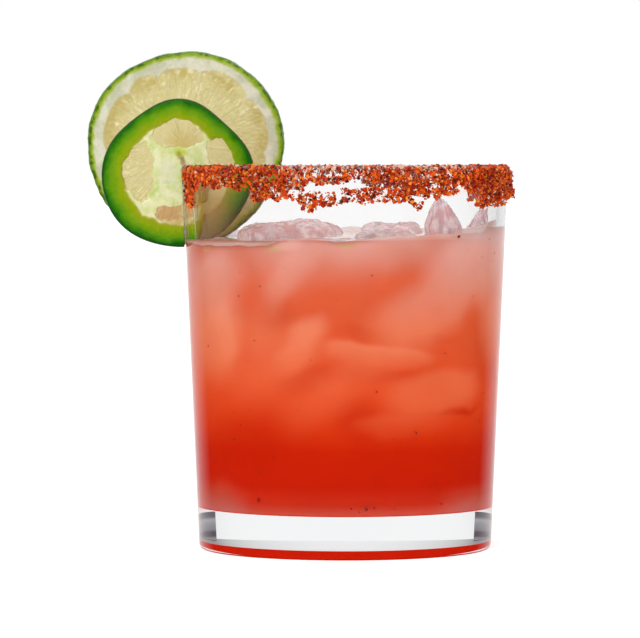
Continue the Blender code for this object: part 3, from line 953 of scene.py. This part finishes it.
def lime_finish(flat):
    """Colours of the lime wheel and how far its relief stands out, at points of the flat slice."""
    share, number, across, reach, turn = lime_zones(flat)
    seed = np.where(flat[:, 2] > 0, 3.0, 8.0)
    from_wall = np.minimum(across, 1 - across) * reach * 2 * math.pi / LIME_SEGMENTS
    scallop = PULP_SHARE - 0.055 * np.abs(2 * across - 1) ** 3 + 0.012 * np.sin(number * 2.4)
    in_pulp = smooth(scallop + 0.012, scallop - 0.012, share)
    faint = 0.35 + 0.65 * (number == LIME_CLEAR_WALL)
    membrane = smooth(0.5, 0.1, from_wall) * smooth(1.0, 2.5, reach) * faint
    value, cell_wall = vesicles(turn, reach, seed)
    outer = smooth(4.0, 18.0, reach)
    tint = cloud(flat, 5.0, 31)
    outer_end = smooth(0.64, 0.80, share) * smooth(-0.4, 0.3, tint)
    darker = np.clip(0.05 + 0.3 * value * outer + 0.8 * outer_end, 0, 1)
    pulp = between((206, 196, 142), (184, 168, 100), darker)
    pulp = tinted(pulp, (214, 206, 152), 0.30 * cell_wall * outer)
    pulp = tinted(pulp, (186, 160, 74), 0.6 * smooth(6.0, 1.0, reach))
    pulp = tinted(pulp, (206, 198, 150), 0.6 * membrane)
    ray = np.stack([turn * 44, reach * 0.8, seed], axis=1)
    glints = smooth(0.35, 0.7, lattice_noise(ray, 1.0, 39)) * smooth(-0.3, 0.3, cloud(flat, 6.0, 38)) * outer
    pulp = tinted(pulp, (244, 236, 196), 0.5 * glints)
    pulp = add_marks(pulp, flat, LIME_MARKS)
    pith = between((186, 187, 160), (206, 205, 182), smooth(-0.5, 0.5, cloud(flat, 3.0, 33)))
    tones = blend(pith, pulp, in_pulp)
    edge = share + 0.012 * cloud(flat, 1.3, 35)
    zest = between((166, 182, 66), (122, 152, 14), smooth(PITH_SHARE, ZEST_SHARE, edge))
    tones = blend(tones, zest, smooth(PITH_SHARE - 0.01, PITH_SHARE + 0.022, edge))
    pores = smooth(-0.2, 0.5, lattice_noise(flat * (1, 1, 0.6), 0.8, 37))
    peel = between((92, 130, 6), (60, 94, 0), pores)
    rough_edge = share + 0.012 * pores + 0.010 * smooth(6.0, -14.0, flat[:, 0])
    tones = blend(tones, peel, smooth(ZEST_SHARE - 0.008, ZEST_SHARE + 0.01, rough_edge))
    sac = in_pulp * (1 - membrane)
    relief = sac * (0.22 * (1 - cell_wall) * outer + 0.12 * tint - 0.30) + 0.10 * membrane * in_pulp
    relief += 0.14 * cloud(flat, 1.2, 36) * smooth(ZEST_SHARE - 0.02, ZEST_SHARE, share)
    return tones, relief


def shade_inside_glass(points, tones):
    """Painted shade on what hangs inside the glass: darker and browner towards the drink, and browner with
    dark streaks near the wall on the left, for the shade of the glass wall and of the seasoning on its lip.
    """
    inside = smooth(0.4, -0.4, np.hypot(points[:, 0], points[:, 1]) - inner_radius(points[:, 2]))
    low = inside * smooth(97.0, 84.0, points[:, 2])
    near_wall = inside * smooth(-27.0, -34.0, points[:, 0]) * smooth(96.0, 91.0, points[:, 2])
    streaks = smooth(-0.1, 0.5, cloud(points * (1, 1, 0.25), 1.8, 47))
    tones = blend(tones, tones * linear((222, 196, 120)), low)
    tones = tinted(tones, (110, 90, 6), 0.35 * low)
    tones = tinted(tones, (196, 148, 88), 0.45 * near_wall)
    return tinted(tones, (138, 76, 16), 0.6 * near_wall * streaks)


def make_lime(cutter):
    finish = new_material(
        "lime_flesh",
        {
            "IOR": 1.4,
            "Subsurface Weight": 0.3,
            "Subsurface Radius": (1.0, 1.0, 0.4),
            "Subsurface Scale": 0.0015,
        },
    )
    use_tone(finish, 0.7, 0.05)
    use_roughness(finish, 1.6, 0.16, 0.42)
    use_bump(finish, 0.6, 0.05)
    half = LIME_THICKNESS / 2
    edge = LIME_RADIUS - 0.5
    face = [(radius, half) for radius in np.linspace(0.25, edge, LIME_RINGS)]
    rim = arc((edge, 0), (0.5, half), 90, 0, 5)[1:]
    upper = [(0.0, half), *face, *rim]
    profile = [(radius, -height) for radius, height in upper] + upper[-2::-1]
    flat, faces = lathe(profile, LIME_STEPS)
    angle = np.arctan2(flat[:, 1], flat[:, 0])
    flat[:, :2] *= (1 + waves(LIME_WAVES, angle))[:, None]
    made = new_object("lime_wheel_cut", standing(flat, LIME_CENTRE), faces, [finish])
    cut(made, cutter)
    made.data.shade_smooth()
    points = positions(made)
    tones, relief = lime_finish(lying(points, LIME_CENTRE))
    near_slit = smooth(0.4, 1.2, np.abs(np.hypot(points[:, 0], points[:, 1]) - lip_centre()[0]) - LIP_RADIUS)
    move_points(made, points + normals(made) * (relief * near_slit)[:, None])
    # Painted shade where the wheel hangs inside the glass
    paint(made, shade_inside_glass(points, tones))
    dress(made, "lime", "lime_wheel")


def pepper_radius(angle):
    return PEPPER_RADIUS * (1 + waves(PEPPER_WAVES, angle))


def chamber_cutter(number, middle, half_width, inner, outer):
    """A rounded wedge through the pepper slice, with a ragged edge."""
    turn = np.arange(CHAMBER_STEPS) * 2 * math.pi / CHAMBER_STEPS
    terms = ((5, 0.06, 2 * (number + 1)), (11, 0.04, number), (17, 0.035, 2 * number), (29, 0.03, 0.0))
    ripple = 1 + sum(height * np.sin(count * turn + shift) for count, height, shift in terms)
    direction = np.radians(middle + half_width * ripple * np.sin(turn))
    radius = (inner + outer) / 2 + (outer - inner) / 2 * ripple * np.cos(turn)
    ring = np.stack([radius * np.cos(direction), radius * np.sin(direction), 0 * turn], axis=1)
    low, high = ring - (0, 0, PEPPER_THICKNESS), ring + (0, 0, PEPPER_THICKNESS)
    points = standing(np.vstack([low, high]), PEPPER_CENTRE)
    count = len(turn)
    faces = [list(range(count)), list(range(count, 2 * count))[::-1]]
    for index in range(count):
        after = (index + 1) % count
        faces.append((index, index + count, after + count, after))
    made = new_object(f"chamber_cutter_{number}", points, faces, [])
    face_outwards(made)
    return made


def pepper_finish(flat, from_face):
    """Colours of the pepper slice, and its relief, at points of the flat slice."""
    angle = np.arctan2(flat[:, 1], flat[:, 0])
    share = np.hypot(flat[:, 0], flat[:, 1]) / pepper_radius(angle)
    wobble = 0.025 * cloud(flat, 3.0, 41) + 0.012 * lattice_noise(flat, 0.9, 42)
    edge = share + wobble
    flesh = between((132, 154, 0), (100, 148, 0), smooth(0.76, 0.86, edge))
    flesh = tinted(flesh, (50, 120, 0), smooth(0.84, 0.94, edge))
    flesh = tinted(flesh, (16, 92, 0), smooth(0.92, 0.97, edge))
    inner = between((198, 206, 140), (214, 216, 168), smooth(-0.5, 0.5, cloud(flat, 2.6, 43)))
    inner = tinted(inner, (168, 192, 84), 0.5 * smooth(0.15, 0.6, cloud(flat, 3.4, 44)))
    inner = tinted(inner, (222, 222, 186), 0.5 * smooth(0.1, 0.6, cloud(flat, 1.8, 46)))
    inner = add_marks(inner, flat, PEPPER_MARKS)
    tones = tinted(inner, (160, 152, 30), smooth(0.68, 0.71, edge))
    tones = blend(tones, flesh, smooth(0.70, 0.74, edge))
    skin = smooth(0.965, 0.985, share)
    tones = tinted(tones, (16, 66, 0), skin)
    relief = 0.10 * cloud(flat, 1.6, 45) * (1 - skin) * from_face
    return tones, relief


def make_pepper(cutter):
    finish = new_material(
        "pepper_flesh",
        {
            "IOR": 1.42,
            "Specular IOR Level": 0.2,
            "Subsurface Weight": 0.2,
            "Subsurface Radius": (0.6, 1.0, 0.2),
            "Subsurface Scale": 0.0012,
        },
    )
    use_tone(finish, 0.8, 0.05)
    use_roughness(finish, 2.0, 0.18, 0.40)
    use_bump(finish, 0.7, 0.04)
    half = PEPPER_THICKNESS / 2
    edge = PEPPER_RADIUS - PEPPER_BEVEL
    upper = [(0.0, half), (edge, half), *arc((edge, 0), (PEPPER_BEVEL, half), 80, 0, 6)]
    profile = [(radius, -height) for radius, height in upper] + upper[-2::-1]
    flat, faces = lathe(profile, PEPPER_STEPS)
    angle = np.arctan2(flat[:, 1], flat[:, 0])
    flat[:, :2] *= (1 + waves(PEPPER_WAVES, angle))[:, None]
    made = new_object("chilli_slice", standing(flat, PEPPER_CENTRE), faces, [finish])
    for number, chamber in enumerate(PEPPER_CHAMBERS):
        hole = chamber_cutter(number, *chamber)
        cut(made, hole)
        bpy.data.objects.remove(hole)
    cut(made, cutter)
    remesh = made.modifiers.new("remesh", "REMESH")
    remesh.mode = "VOXEL"
    remesh.voxel_size = PEPPER_VOXEL * MM
    relax = made.modifiers.new("relax", "SMOOTH")
    relax.iterations = 4
    apply_modifiers(made)
    made.data.shade_smooth()
    points = positions(made)
    outward = normals(made)
    tones, relief = pepper_finish(lying(points, PEPPER_CENTRE), np.abs(outward[:, 1]))
    move_points(made, points + outward * relief[:, None])
    # Painted shade where the slice hangs inside the glass
    paint(made, shade_inside_glass(points, tones))
    see_through(made)
    dress(made, "pepper", "jalapeno_slice")


def grain_shape(simple):
    """What a grain starts from: an octahedron, or a rounder ball of twenty faces."""
    if simple:
        points = np.array([(1, 0, 0), (0, 1, 0), (-1, 0, 0), (0, -1, 0), (0, 0, 1), (0, 0, -1)], float)
        sides = [(side, (side + 1) % 4) for side in range(4)]
        return points, np.array([(a, b, 4) for a, b in sides] + [(b, a, 5) for a, b in sides])
    shape = bmesh.new()
    bmesh.ops.create_icosphere(shape, subdivisions=1, radius=1)
    points = np.array([vertex.co[:] for vertex in shape.verts])
    faces = np.array([[vertex.index for vertex in face.verts] for face in shape.faces])
    shape.free()
    return points, faces


def random_turns(rng, count):
    """Rotation matrices, evenly spread."""
    w, x, y, z = rng.normal(size=(4, count))
    length = np.sqrt(w * w + x * x + y * y + z * z)
    w, x, y, z = w / length, x / length, y / length, z / length
    rows = (
        (1 - 2 * (y * y + z * z), 2 * (x * y - z * w), 2 * (x * z + y * w)),
        (2 * (x * y + z * w), 1 - 2 * (x * x + z * z), 2 * (y * z - x * w)),
        (2 * (x * z - y * w), 2 * (y * z + x * w), 1 - 2 * (x * x + y * y)),
    )
    return np.moveaxis(np.array([np.stack(row) for row in rows]), 2, 0)


def grains(name, centres, sizes, tones, finish, rng, simple=False):
    """Uneven grains joined into one mesh, each with its own colour."""
    ball, ball_faces = grain_shape(simple)
    count = len(centres)
    dents = rng.uniform(0.65, 1.15, (count, len(ball), 1))
    shapes = ball[None] * dents * rng.uniform(0.6, 1.1, (count, 1, 3))
    shapes = np.einsum("nij,nkj->nki", random_turns(rng, count), shapes * sizes[:, None, None])
    points = (shapes + centres[:, None]).reshape(-1, 3)
    faces = (ball_faces[None] + (np.arange(count) * len(ball))[:, None, None]).reshape(-1, 3)
    made = new_object(name, points, faces.tolist(), [finish], rounded=False)
    paint(made, np.repeat(tones, len(ball), axis=0))
    return made


def on_wall(azimuth, height, reach):
    """Places a reach off the tumbler: its outer wall, then over the lip and down the inner wall."""
    middle, level = lip_centre()
    over = np.clip((height - level) / LIP_RADIUS, 0, math.pi)
    down = np.maximum(height - level - math.pi * LIP_RADIUS, 0)
    radius = middle + (LIP_RADIUS + reach) * np.cos(over)
    radius = np.where(height < level, outer_radius(height) + reach, radius)
    lifted = np.where(height < level, height, level + (LIP_RADIUS + reach) * np.sin(over) - down)
    turn = np.radians(azimuth)
    return np.stack([radius * np.sin(turn), -radius * np.cos(turn), lifted], axis=1)


def crust_places(rng, per_area, sizes, outermost, salt_share):
    """Where the grains of one layer lie, their sizes and their colours."""
    places, radii, tones = [], [], []
    grain_tones = np.array([linear(colour) for colour, _ in GRAIN_TONES])
    chances = np.array([chance for _, chance in GRAIN_TONES])
    for start, end, low, high, cover, thickness, salt in CRUST_BANDS:
        area = math.radians(end - start + 2 * SPILL) * RIM_RADIUS * (high - low)
        count = int(area * per_area)
        azimuth = rng.uniform(start - SPILL, end + SPILL, count)
        height = rng.uniform(low - RAGGED_REACH, high, count)
        spot = np.stack([azimuth * RIM_RADIUS * math.pi / 180, height], axis=1)
        ragged = height - low + 0.8 * lattice_noise(spot, 1.6, 51) + 0.9 * lattice_noise(spot, 4.0, 52)
        from_end = np.minimum(azimuth - start, end - azimuth) + SPILL
        keep = (ragged > 0) & (lattice_noise(spot, 1.1, 53) > 0.9 - 1.9 * cover)
        keep &= from_end + 1.6 * lattice_noise(spot, 1.5, 55) > 0.8
        azimuth, height, spot = azimuth[keep], height[keep], spot[keep]
        size = rng.uniform(*sizes, len(azimuth))
        pile = np.clip(0.55 + lattice_noise(spot, 2.4, 54), 0.1, 1.0)
        on_lip = smooth(GLASS_HEIGHT - 2 * LIP_RADIUS, GLASS_HEIGHT, height)
        reach = 0.3 * size + rng.uniform(*outermost, len(azimuth)) * thickness * pile * (1 - 0.9 * on_lip)
        reach -= LIP_SINK * on_lip
        picked = grain_tones[rng.choice(len(chances), len(azimuth), p=chances / chances.sum())]
        salt_on_lip = 0.4 * on_lip * (np.abs(azimuth - SALTED_LIP[0]) < SALTED_LIP[1])
        salted = rng.uniform(0, 1, len(azimuth)) < salt * salt_share + salt_on_lip
        picked = np.where(salted[:, None], linear(SALT_TONE), picked)
        places.append(on_wall(azimuth, height, reach))
        radii.append(size)
        tones.append(picked * rng.uniform(0.70, 1.10, (len(azimuth), 1)))
    return np.vstack(places), np.concatenate(radii), np.vstack(tones)


def make_crust():
    finish = new_material("chilli_salt", {"IOR": 1.5, "Specular IOR Level": 0.2})
    use_tone(finish, 0.25, 0.2)
    use_roughness(finish, 0.6, 0.22, 0.5)
    rng = np.random.default_rng(11)
    for name, per_area, sizes, outermost, salt_share, simple in GRAIN_LAYERS:
        places, radii, tones = crust_places(rng, per_area, sizes, outermost, salt_share)
        made = grains(name, places, radii, tones, finish, rng, simple)
        dress(made, "seasoning", "chilli_salt_rim")


def make_specks():
    """Bits of chilli against the glass."""
    finish = new_material("specks", {"Roughness": 0.4})
    use_tone(finish, 0.3, 0.1)
    rng = np.random.default_rng(5)
    larger = np.array(SPECKS)
    azimuth = np.concatenate([rng.uniform(-180, 180, SMALL_SPECKS), larger[:, 0]])
    height = np.concatenate([12 + 66 * rng.uniform(0, 1, SMALL_SPECKS) ** 1.4, larger[:, 1]])
    sizes = np.concatenate([rng.uniform(0.12, 0.30, SMALL_SPECKS), larger[:, 2]])
    reach = inner_radius(height) + SPECK_REACH
    turn = np.radians(azimuth)
    centres = np.stack([reach * np.sin(turn), -reach * np.cos(turn), height], axis=1)
    tones = between((96, 14, 4), (160, 36, 14), rng.uniform(0, 1, len(azimuth)))
    made = grains("chilli_specks", centres, sizes, tones, finish, rng)
    dress(made, "seasoning")


def main():
    bpy.context.scene.view_settings.view_transform = "Standard"
    make_camera()
    make_world()
    make_key_light()
    make_floor()
    make_flags()
    make_glass()
    make_drink()
    make_ice()
    cutter = wall_cutter()
    make_lime(cutter)
    make_pepper(cutter)
    bpy.data.objects.remove(cutter)
    make_crust()
    make_specks()


main()
